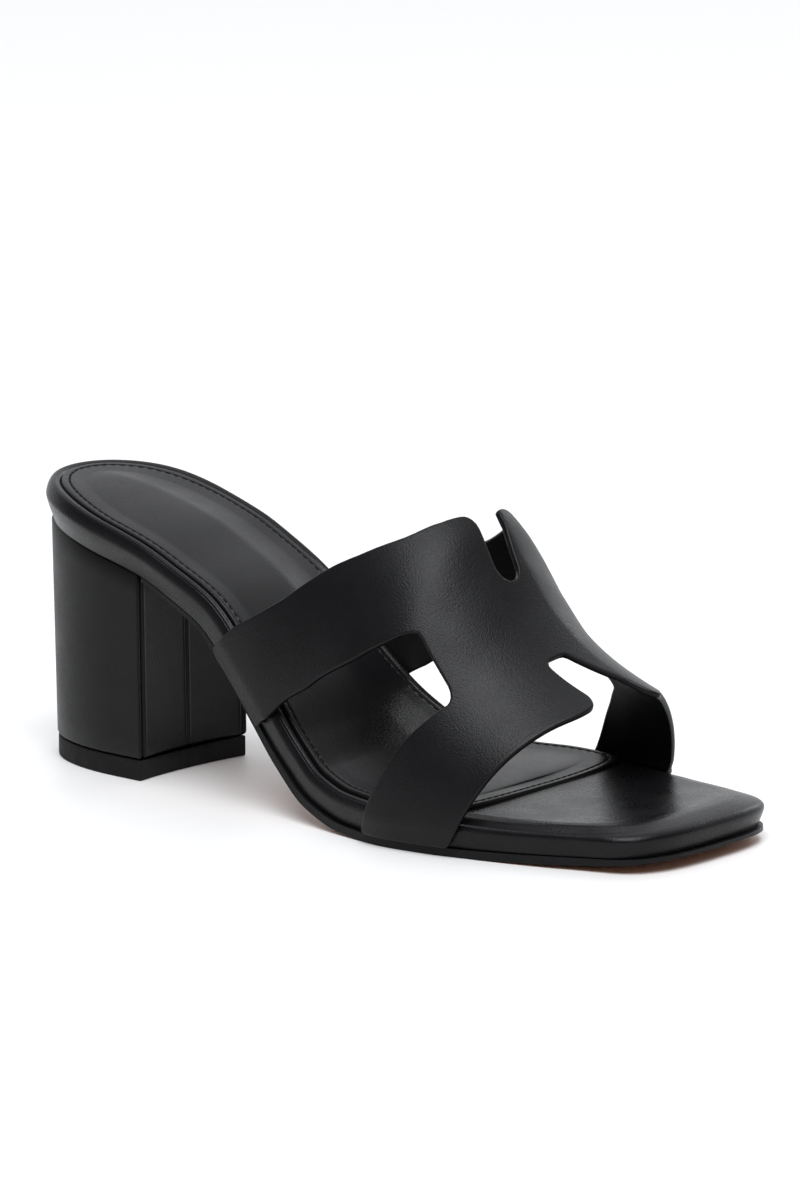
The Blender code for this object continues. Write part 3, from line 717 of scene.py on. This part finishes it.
def make_heel():
    """Covered block with seams down its hollow breast."""
    plan = heel_outline(0.0, BREAST_SEAMS)
    return block(
        plan,
        leaned(plan),
        lambda plan: np.full(len(plan), LIFT_HEIGHT + GAP),
        lambda plan: underside(plan[:, 0], plan[:, 1]) - GAP,
        HEEL_EDGE,
        HEEL_HEIGHT_STEPS,
    )


def make_heel_lift():
    """Rubber top piece under the block."""
    plan = heel_outline(LIFT_INSET, ())
    return block(
        plan,
        plan,
        lambda plan: np.zeros(len(plan)),
        lambda plan: np.full(len(plan), LIFT_HEIGHT),
        LIFT_EDGE,
        LIFT_HEIGHT_STEPS,
    )


def make_outsole():
    """Thin sheet from the heel breast to the toe; its underside has its own material."""
    start = HEEL_BREAST + 2 * BREAST_TURN + OUTSOLE_END_GAP
    along, wide = cap(CAP_STEPS, TOE_POWER)
    straight = np.linspace(start, TOE_TIP - TOE_CAP, MID_STEPS + 1)[:-1]
    stations = np.concatenate([straight, (TOE_TIP - TOE_CAP * along)[::-1]])
    widths = np.concatenate([np.ones(len(straight)), wide[::-1]])
    shares = np.linspace(-1, 1, CROSS_STEPS + 1)
    shell = Shell()
    under, over = [], []
    for x, width in zip(stations[:-1], widths[:-1]):
        margin = outsole_sizes["margin"](x)
        row = side_points(np.full(len(shares), x), width * shares, TOE_TIP, TOE_TURN, margin)
        blend = max(0.0, 1 - (x - start) / BREAST_BLEND)
        beside_heel = np.clip(row[:, 1], -0.5 * HEEL_WIDTH, 0.5 * HEEL_WIDTH)
        row[:, 0] += blend * (breast_x(beside_heel) + OUTSOLE_END_GAP - start)
        under.append(shell.add(lift(row, -GAP - outsole_sizes["thickness"](row[:, 0]))))
        over.append(shell.add(lift(row, np.full(len(row), -GAP))))
    for a in range(len(under) - 1):
        for k in range(CROSS_STEPS):
            shell.face((under[a][k], under[a + 1][k], under[a + 1][k + 1], under[a][k + 1]), 1)
            shell.face((over[a][k], over[a][k + 1], over[a + 1][k + 1], over[a + 1][k]))
    shell.band(grid_border(under), grid_border(over))
    return shell


def grid_border(rows):
    """Indices round the edge of a grid of rows."""
    first_column = [row[0] for row in rows]
    last_column = [row[-1] for row in rows[-2::-1]]
    return first_column + rows[-1][1:] + last_column + rows[0][-2:0:-1]


def upper_point(x, girth):
    """Point of the upper's middle surface; girth runs from the outer sole line (0) to the inner (1)."""
    side = np.where(girth < 0.5, -1.0, 1.0)
    from_sole = np.where(girth < 0.5, girth, 1 - girth)
    skirt = np.clip(from_sole / SKIRT, 0, 1)
    turn = 0.5 * pi * np.clip((from_sole - SKIRT) / (0.5 - SKIRT), 0, 1)
    lean = slope(x)
    rise = SKIRT_RISE * sole["rim"](x) * np.sqrt(1 + lean**2)
    foot = x + rise * skirt * lean / (1 + lean**2)
    clear = 0.5 * LEATHER + STRAP_GAP - sole["undercut"](foot) * (1 - skirt)
    edge = np.where(side < 0, sole["lateral"](foot) - clear, sole["medial"](foot) + clear)
    level = underside(x, edge)
    ridge_y = 0.5 * (sole["lateral"](x) + sole["medial"](x)) + last["offset"](x)
    power = np.where(side < 0, FULLNESS_LATERAL, last["fullness"](x))
    y = ridge_y + (edge - ridge_y) * np.cos(turn) ** (2 / power)
    z = level + rise * skirt + (last["ridge"](x) - level - rise) * np.sin(turn) ** (2 / power)
    return np.stack([x, y, z], axis=-1)


def upper_tangents(x, girth):
    """Directions of the upper's surface per millimetre of the flat chart, along the foot and round it."""
    dx = 0.4
    dg = 0.004
    low = np.clip(girth - dg, 0, 1)
    high = np.clip(girth + dg, 0, 1)
    along = (upper_point(x + dx, girth) - upper_point(x - dx, girth)) / (2 * dx)
    around = (upper_point(x, high) - upper_point(x, low)) / ((high - low) * GIRTH_LENGTH)[:, None]
    return along, around


def upper_normal(x, girth):
    along, around = upper_tangents(x, girth)
    out = np.cross(along, around)
    return out / np.linalg.norm(out, axis=1, keepdims=True)


def edge_run(table, name, first, last_girth, medial):
    """Points of one strap edge between two girths, with a small rounding where it meets the sole line."""
    curve = columns(STRAP_COLUMNS, table)[name]
    girths = np.linspace(first, last_girth, STRAP_EDGE_STEPS)
    return [(float(curve(g)), 1 - g if medial else g, FOOT_CORNER if g == 0 else 0.0) for g in girths]


def upper_corners():
    """The upper's outline as one closed run of corners: station, girth, rounding radius."""
    outer, inner = STRAPS_LATERAL, STRAPS_MEDIAL
    run = edge_run(outer, "front", 0.0, LOBE_START_LATERAL, False)
    run += [LATERAL_LOBE, *NOTCH, MEDIAL_LOBE]
    run += edge_run(inner, "front", LOBE_START_MEDIAL, 0.0, True)
    run += edge_run(inner, "cut_front", 0.0, CUT_FRONT_END, True)
    run += [CUT_TOP_FRONT_MEDIAL, CUT_TOP_REAR_MEDIAL]
    run += edge_run(inner, "cut_rear", CUT_REAR_END, 0.0, True)
    run += edge_run(inner, "back", 0.0, THROAT_END, True)
    run += [MEDIAL_THROAT, *SLOT, LATERAL_THROAT]
    run += edge_run(outer, "back", THROAT_END, 0.0, False)
    run += edge_run(outer, "cut_rear", 0.0, CUT_REAR_END, False)
    run += [CUT_TOP_REAR_LATERAL, CUT_TOP_FRONT_LATERAL]
    run += edge_run(outer, "cut_front", CUT_FRONT_END, 0.0, False)
    return [(Vector((x, girth * GIRTH_LENGTH)), radius) for x, girth, radius in run]


def rounded(corners):
    """Closed flat outline with its corners rounded, each corner a point with a radius."""
    points = []
    for k, (corner, radius) in enumerate(corners):
        if radius == 0:
            points.append(corner)
            continue
        back = (corners[k - 1][0] - corner).normalized()
        ahead = (corners[(k + 1) % len(corners)][0] - corner).normalized()
        half_angle = 0.5 * back.angle(ahead)
        reach = radius / tan(half_angle)
        centre = corner + (back + ahead).normalized() * radius / sin(half_angle)
        start = corner + back * reach - centre
        end = corner + ahead * reach - centre
        for step in range(ARC_STEPS + 1):
            share = step / ARC_STEPS
            points.append(centre + (start * (1 - share) + end * share).normalized() * radius)
    return points


def resampled(points, step):
    """Closed run of points at even steps."""
    closed = np.array([tuple(p) for p in points + points[:1]])
    lengths = np.concatenate([[0], np.cumsum(np.linalg.norm(np.diff(closed, axis=0), axis=1))])
    spots = np.linspace(0, lengths[-1], round(lengths[-1] / step) + 1)[:-1]
    return np.column_stack([np.interp(spots, lengths, closed[:, k]) for k in range(2)])


def inside(points, border):
    """Which points lie inside a closed border, and how far from it each one is."""
    closed = np.vstack([border, border[:1]])
    crossings = np.zeros(len(points), int)
    nearest = np.full(len(points), np.inf)
    for (x0, y0), (x1, y1) in zip(closed, closed[1:]):
        spans = (y0 > points[:, 1]) != (y1 > points[:, 1])
        rise = y1 - y0 if y1 != y0 else 1.0
        crossings += spans & (points[:, 0] < x0 + (x1 - x0) * (points[:, 1] - y0) / rise)
        side = np.array([x1 - x0, y1 - y0])
        share = np.clip(((points - (x0, y0)) @ side) / (side @ side), 0, 1)
        gaps = points - (x0, y0) - share[:, None] * side
        nearest = np.minimum(nearest, np.hypot(gaps[:, 0], gaps[:, 1]))
    return crossings % 2 == 1, nearest


def fill_points(border):
    """Staggered grid of points inside the upper's outline."""
    low, high = border.min(axis=0), border.max(axis=0)
    rows = []
    for k, y in enumerate(np.arange(low[1], high[1], FILL_STEP * 0.5 * sqrt(3))):
        x = np.arange(low[0] + 0.5 * FILL_STEP * (k % 2), high[0], FILL_STEP)
        rows.append(np.column_stack([x, np.full(len(x), y)]))
    grid = np.vstack(rows)
    kept, nearest = inside(grid, border)
    return grid[kept & (nearest > FILL_CLEAR)]


def edge_rings(border):
    """Rings of chart points beside the cut edge, at true distances in the leather's surface."""
    run = np.roll(border, -1, axis=0) - np.roll(border, 1, axis=0)
    along, around = upper_tangents(border[:, 0], border[:, 1] / GIRTH_LENGTH)
    course = along * run[:, :1] + around * run[:, 1:]
    inwards = np.cross(course, np.cross(around, along))
    inwards /= np.linalg.norm(inwards, axis=1, keepdims=True)
    aa, bb = (along * along).sum(1), (around * around).sum(1)
    ab = (along * around).sum(1)
    pa, pb = (along * inwards).sum(1), (around * inwards).sum(1)
    spread = aa * bb - ab**2
    step = np.column_stack([(pa * bb - pb * ab) / spread, (pb * aa - pa * ab) / spread])
    probe = 0.2
    kept, _ = inside(border + probe * step, border)
    sign = 1.0 if kept.mean() > 0.5 else -1.0
    return [border + sign * distance * step for distance in EDGE_RINGS]


def fold_heights(chart):
    """Height of the soft folds at chart points."""
    total = np.zeros(len(chart))
    for course, width, height in FOLDS:
        line = np.array(course) * (1, GIRTH_LENGTH)
        nearest = np.full(len(chart), np.inf)
        for start, end in zip(line, line[1:]):
            side = end - start
            share = np.clip(((chart - start) @ side) / (side @ side), 0, 1)
            nearest = np.minimum(nearest, np.linalg.norm(chart - start - share[:, None] * side, axis=1))
        total += height * np.exp(-((nearest / width) ** 2))
    return total


def make_upper():
    """One hollow leather piece: outer leather (0), lining (1) and painted edge (2), with the edge rounded."""
    border = resampled(rounded(upper_corners()), BORDER_STEP)
    rings = edge_rings(border)
    count = len(border)
    chart = np.vstack([*rings, fill_points(border)])
    loops = [[k + ring * count for k in range(count)] for ring in range(len(rings))]
    sides = [(a, b) for loop in loops for a, b in zip(loop, loop[1:] + loop[:1])]
    corners = [Vector(p) for p in chart]
    done, _, triangles, _, _, _ = delaunay_2d_cdt(corners, sides, [loops[0]], INSIDE_ONLY, CHART_MERGE)
    chart = np.array([tuple(p) for p in done])
    depth = np.full(len(chart), EDGE_RINGS[-1])
    for distance, loop in zip(EDGE_RINGS, loops):
        depth[loop] = distance
    share = np.clip(1 - depth / EDGE_ROUND, 0, 1)
    half = 0.5 * LEATHER * (1 - share**EDGE_SQUARE) ** (1 / EDGE_SQUARE)
    x, girth = chart[:, 0], chart[:, 1] / GIRTH_LENGTH
    middle, out = upper_point(x, girth), upper_normal(x, girth)
    middle += fold_heights(chart)[:, None] * out
    shell = Shell()
    outer = shell.add(middle + half[:, None] * out)
    inner = outer[:count] + shell.add((middle - half[:, None] * out)[count:])
    for triangle in triangles:
        edge = max(depth[k] for k in triangle) <= EDGE_ROUND
        shell.face([outer[k] for k in triangle], 2 if edge else 0)
        shell.face([inner[k] for k in reversed(triangle)], 2 if edge else 1)
    return shell


# Range of noise values that the leathers make use of.
NOISE_RANGE = (0.3, 0.7)
# Noise of tone, gloss and skin: its detail, its scale beside the clouds or the grain, and what it adds. Then
# the softness of the pebbles and the distances from their middles that shape them.
TONE_DETAIL = 4
GLOSS_DETAIL = 3
FINE_DETAIL = 2
GLOSS_SCALE = 1.7
SPECKLE_SCALE = 0.6
SPECKLE = 0.03
SKIN_SCALE = 2.2
SKIN_HEIGHT = 0.5
PEBBLE_SOFTNESS = 0.6
PEBBLE_RANGE = (0.1, 0.8)


class Leather:
    """Procedural leather: pebble grain and fine skin as bump, with uneven gloss and tone."""

    def __init__(self, name, dark, light, rough_low, rough_high, grain, grain_depth, cloud):
        self.material = bpy.data.materials.new(name)
        self.material.use_nodes = True
        self.tree = self.material.node_tree
        self.shader = self.tree.nodes["Principled BSDF"]
        self.shader.inputs["Specular IOR Level"].default_value = SHEEN
        self.place = self.tree.nodes.new("ShaderNodeTexCoord").outputs["Object"]
        self.tone(dark, light, cloud)
        self.gloss(rough_low, rough_high, cloud, grain)
        self.relief(grain, grain_depth)

    def noise(self, scale, detail):
        node = self.tree.nodes.new("ShaderNodeTexNoise")
        node.inputs["Scale"].default_value = scale
        node.inputs["Detail"].default_value = detail
        self.tree.links.new(self.place, node.inputs["Vector"])
        return node.outputs["Fac"]

    def mapped(self, source, low, high, source_range=NOISE_RANGE):
        node = self.tree.nodes.new("ShaderNodeMapRange")
        node.inputs["From Min"].default_value = source_range[0]
        node.inputs["From Max"].default_value = source_range[1]
        node.inputs["To Min"].default_value = low
        node.inputs["To Max"].default_value = high
        self.tree.links.new(source, node.inputs["Value"])
        return node.outputs["Result"]

    def tone(self, dark, light, cloud):
        ramp = self.tree.nodes.new("ShaderNodeValToRGB")
        for element, place, colour in zip(ramp.color_ramp.elements, NOISE_RANGE, (dark, light)):
            element.position = place
            element.color = (*colour, 1)
        self.tree.links.new(self.noise(cloud, TONE_DETAIL), ramp.inputs["Fac"])
        self.tree.links.new(ramp.outputs["Color"], self.shader.inputs["Base Color"])

    def gloss(self, low, high, cloud, grain):
        broad = self.mapped(self.noise(GLOSS_SCALE * cloud, GLOSS_DETAIL), low, high)
        fine = self.mapped(self.noise(SPECKLE_SCALE * grain, FINE_DETAIL), -SPECKLE, SPECKLE)
        total = self.tree.nodes.new("ShaderNodeMath")
        self.tree.links.new(broad, total.inputs[0])
        self.tree.links.new(fine, total.inputs[1])
        self.tree.links.new(total.outputs["Value"], self.shader.inputs["Roughness"])

    def relief(self, grain, depth):
        cells = self.tree.nodes.new("ShaderNodeTexVoronoi")
        cells.feature = "SMOOTH_F1"
        cells.inputs["Scale"].default_value = grain
        cells.inputs["Smoothness"].default_value = PEBBLE_SOFTNESS
        self.tree.links.new(self.place, cells.inputs["Vector"])
        pebbles = self.mapped(cells.outputs["Distance"], 1.0, 0.0, PEBBLE_RANGE)
        skin = self.mapped(self.noise(SKIN_SCALE * grain, FINE_DETAIL), 0.0, SKIN_HEIGHT)
        total = self.tree.nodes.new("ShaderNodeMath")
        self.tree.links.new(pebbles, total.inputs[0])
        self.tree.links.new(skin, total.inputs[1])
        bump = self.tree.nodes.new("ShaderNodeBump")
        bump.inputs["Strength"].default_value = 1.0
        bump.inputs["Distance"].default_value = depth
        self.tree.links.new(total.outputs["Value"], bump.inputs["Height"])
        self.tree.links.new(bump.outputs["Normal"], self.shader.inputs["Normal"])


# Strength of the mirror reflection of every leather.
SHEEN = 0.17
BLACK = (0.0035, 0.0035, 0.0040)
BLACK_WORN = (0.0060, 0.0060, 0.0066)
TAN = (0.30, 0.125, 0.060)
TAN_WORN = (0.38, 0.175, 0.090)

# Materials: dark and light tone, roughness range, grain per metre, grain depth in metres, tone clouds per
# metre.
LEATHERS = {
    "upper_leather": (BLACK, BLACK_WORN, 0.33, 0.40, 1900.0, 0.000042, 45.0),
    "upper_lining": (BLACK, BLACK_WORN, 0.50, 0.60, 2100.0, 0.000025, 60.0),
    "edge_paint": (BLACK, BLACK_WORN, 0.30, 0.40, 900.0, 0.000015, 90.0),
    "footbed_leather": (BLACK, BLACK_WORN, 0.25, 0.33, 1900.0, 0.000026, 50.0),
    "sock_leather": (BLACK, BLACK_WORN, 0.30, 0.38, 1900.0, 0.000026, 40.0),
    "stitch_thread": (BLACK, BLACK, 0.70, 0.80, 4000.0, 0.000060, 200.0),
    "outsole_edge": (BLACK, BLACK_WORN, 0.36, 0.46, 1200.0, 0.000020, 120.0),
    "outsole_leather": (TAN, TAN_WORN, 0.50, 0.62, 1600.0, 0.000020, 55.0),
    "heel_leather": (BLACK, BLACK_WORN, 0.36, 0.44, 1900.0, 0.000018, 40.0),
    "lift_rubber": (BLACK_WORN, BLACK_WORN, 0.62, 0.75, 2600.0, 0.000050, 150.0),
}
materials = {name: Leather(name, *row).material for name, row in LEATHERS.items()}


def make_piece(name, shell, material_names, slot, *nodes):
    """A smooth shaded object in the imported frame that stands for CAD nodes."""
    mesh = bpy.data.meshes.new(name)
    mesh.from_pydata(to_frame(shell.points).tolist(), [], shell.faces)
    mesh.polygons.foreach_set("material_index", shell.slots)
    work = bmesh.new()
    work.from_mesh(mesh)
    bmesh.ops.remove_doubles(work, verts=work.verts, dist=PIECE_MERGE)
    bmesh.ops.dissolve_degenerate(work, edges=work.edges, dist=PIECE_MERGE)
    bmesh.ops.recalc_face_normals(work, faces=work.faces)
    work.to_mesh(mesh)
    work.free()
    for material_name in material_names:
        mesh.materials.append(materials[material_name])
    mesh.shade_smooth()
    mesh.set_sharp_from_angle(angle=radians(SHARP_ANGLE))
    piece = bpy.data.objects.new(name, mesh)
    bpy.context.scene.collection.objects.link(piece)
    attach(piece, BODY)
    if nodes:
        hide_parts(*nodes)
    return piece


def soften_edges(piece, width):
    """Rounds the sharp edges of a piece."""
    bevel = piece.modifiers.new("soft_edges", "BEVEL")
    bevel.width = width * MM
    bevel.segments = BEVEL_SEGMENTS
    bevel.limit_method = "ANGLE"
    bevel.angle_limit = radians(SHARP_ANGLE)
    bevel.harden_normals = True


def make_shoe():
    make_piece("footbed_wrap", make_footbed(), ["footbed_leather"], "footbed_leather", "footbed")
    sock = make_piece("padded_sock", make_sock(), ["sock_leather"], "sock_leather", "insole")
    make_piece("sock_stitches", make_stitches(), ["stitch_thread"], "sock_leather")
    layers = ["upper_leather", "upper_lining", "edge_paint"]
    make_piece("upper_straps", make_upper(), layers, "upper_leather", "upper")
    sheet = ["outsole_edge", "outsole_leather"]
    outsole = make_piece("outsole_sheet", make_outsole(), sheet, "outsole_leather", "outsole")
    soften_edges(outsole, OUTSOLE_BEVEL)
    make_piece("heel_cover", make_heel(), ["heel_leather"], "heel_leather", "heel")
    make_piece("heel_top_piece", make_heel_lift(), ["lift_rubber"], "lift_rubber", "heel_lift")


# The floor and the light; lengths in metres.
FLOOR_RADIUS = 14.0
FLOOR_SIDES = 96
FLOOR_COLOUR = (0.735, 0.735, 0.735, 1.0)
FLOOR_ROUGHNESS = 0.5
LIGHT_COLOUR = (0.97, 0.98, 1.0)
# Soft boxes: name, azimuth from the toe towards the inner side, elevation, distance, size and brightness
# (radiance).
SOFTBOXES = (
    ("key_softbox", -48.0, 60.0, 3.4, 2.5, 7.5),
    ("rim_softbox", 96.0, 24.0, 3.4, 0.8, 4.0),
)
# The room: brightness low in front, added from behind and added overhead, and over which cosines of the angle
# to those directions each addition grows.
ROOM_FRONT = 0.12
ROOM_BACK = 1.0
ROOM_TOP = 0.8
BACK_AZIMUTH = 125.0
BACK_GROWS = (0.0, 0.7)
TOP_GROWS = (0.55, 0.95)


def direction(azimuth, elevation):
    a, e = radians(azimuth), radians(elevation)
    return Vector((cos(a) * cos(e), sin(a) * cos(e), sin(e)))


def make_floor():
    mesh = bpy.data.meshes.new("floor")
    work = bmesh.new()
    bmesh.ops.create_circle(work, cap_ends=True, segments=FLOOR_SIDES, radius=FLOOR_RADIUS)
    work.to_mesh(mesh)
    work.free()
    floor = bpy.data.objects.new("floor", mesh)
    bpy.context.scene.collection.objects.link(floor)
    material = bpy.data.materials.new("floor_paper")
    material.use_nodes = True
    shader = material.node_tree.nodes["Principled BSDF"]
    shader.inputs["Base Color"].default_value = FLOOR_COLOUR
    shader.inputs["Roughness"].default_value = FLOOR_ROUGHNESS
    mesh.materials.append(material)


def make_softbox(name, azimuth, elevation, distance, size, brightness):
    """Square light turned towards the shoe."""
    data = bpy.data.lights.new(name, "AREA")
    data.color = LIGHT_COLOUR
    data.size = size
    data.energy = brightness * pi * size**2
    towards = direction(azimuth, elevation)
    light = bpy.data.objects.new(name, data)
    light.location = towards * distance
    light.rotation_mode = "QUATERNION"
    light.rotation_quaternion = towards.to_track_quat("Z", "Y")
    bpy.context.scene.collection.objects.link(light)


def make_lights():
    for softbox in SOFTBOXES:
        make_softbox(*softbox)


def make_room():
    """Surroundings: dim in front, brighter behind the shoe and overhead."""
    world = bpy.data.worlds.new("studio")
    bpy.context.scene.world = world
    world.use_nodes = True
    tree = world.node_tree
    place = tree.nodes.new("ShaderNodeTexCoord").outputs["Generated"]

    def glow(towards, start, end, strength):
        dot = tree.nodes.new("ShaderNodeVectorMath")
        dot.operation = "DOT_PRODUCT"
        tree.links.new(place, dot.inputs[0])
        dot.inputs[1].default_value = towards
        part = tree.nodes.new("ShaderNodeMapRange")
        part.interpolation_type = "SMOOTHSTEP"
        part.inputs["From Min"].default_value = start
        part.inputs["From Max"].default_value = end
        part.inputs["To Max"].default_value = strength
        tree.links.new(dot.outputs["Value"], part.inputs["Value"])
        return part.outputs["Result"]

    behind = glow(direction(BACK_AZIMUTH, 0.0), *BACK_GROWS, ROOM_BACK)
    above = glow(Vector((0, 0, 1)), *TOP_GROWS, ROOM_TOP)
    both = tree.nodes.new("ShaderNodeMath")
    tree.links.new(behind, both.inputs[0])
    tree.links.new(above, both.inputs[1])
    total = tree.nodes.new("ShaderNodeMath")
    tree.links.new(both.outputs["Value"], total.inputs[0])
    total.inputs[1].default_value = ROOM_FRONT
    background = tree.nodes["Background"]
    background.inputs["Color"].default_value = (*LIGHT_COLOUR, 1.0)
    tree.links.new(total.outputs["Value"], background.inputs["Strength"])


def make_camera():
    """Camera of the photograph: the known point appears at its pixel, seen at the photograph's angle."""
    back = direction(CAMERA_AZIMUTH - 90.0, CAMERA_ELEVATION)
    right = Vector((cos(radians(CAMERA_AZIMUTH)), sin(radians(CAMERA_AZIMUTH)), 0.0))
    up = back.cross(right)
    distance = FOCAL_PIXELS / PIXELS_PER_MM
    to_right = (KNOWN_PIXEL[0] - 0.5 * PICTURE[0]) / PIXELS_PER_MM
    to_up = (0.5 * PICTURE[1] - KNOWN_PIXEL[1]) / PIXELS_PER_MM
    target = Vector(to_frame(KNOWN_POINT))
    data = bpy.data.cameras.new("photo_camera")
    data.sensor_width = SENSOR_MM
    data.lens = SENSOR_MM * FOCAL_PIXELS / max(PICTURE)
    data.clip_start, data.clip_end = CLIP
    camera = bpy.data.objects.new("photo_camera", data)
    turn = Matrix((right, up, back)).transposed().to_4x4()
    spot = target + (back * distance - right * to_right - up * to_up) * MM
    camera.matrix_world = Matrix.Translation(spot) @ turn
    bpy.context.scene.collection.objects.link(camera)
    bpy.context.scene.camera = camera


make_camera()
make_floor()
make_lights()
make_room()
make_shoe()
bpy.context.scene.view_settings.view_transform = "Standard"
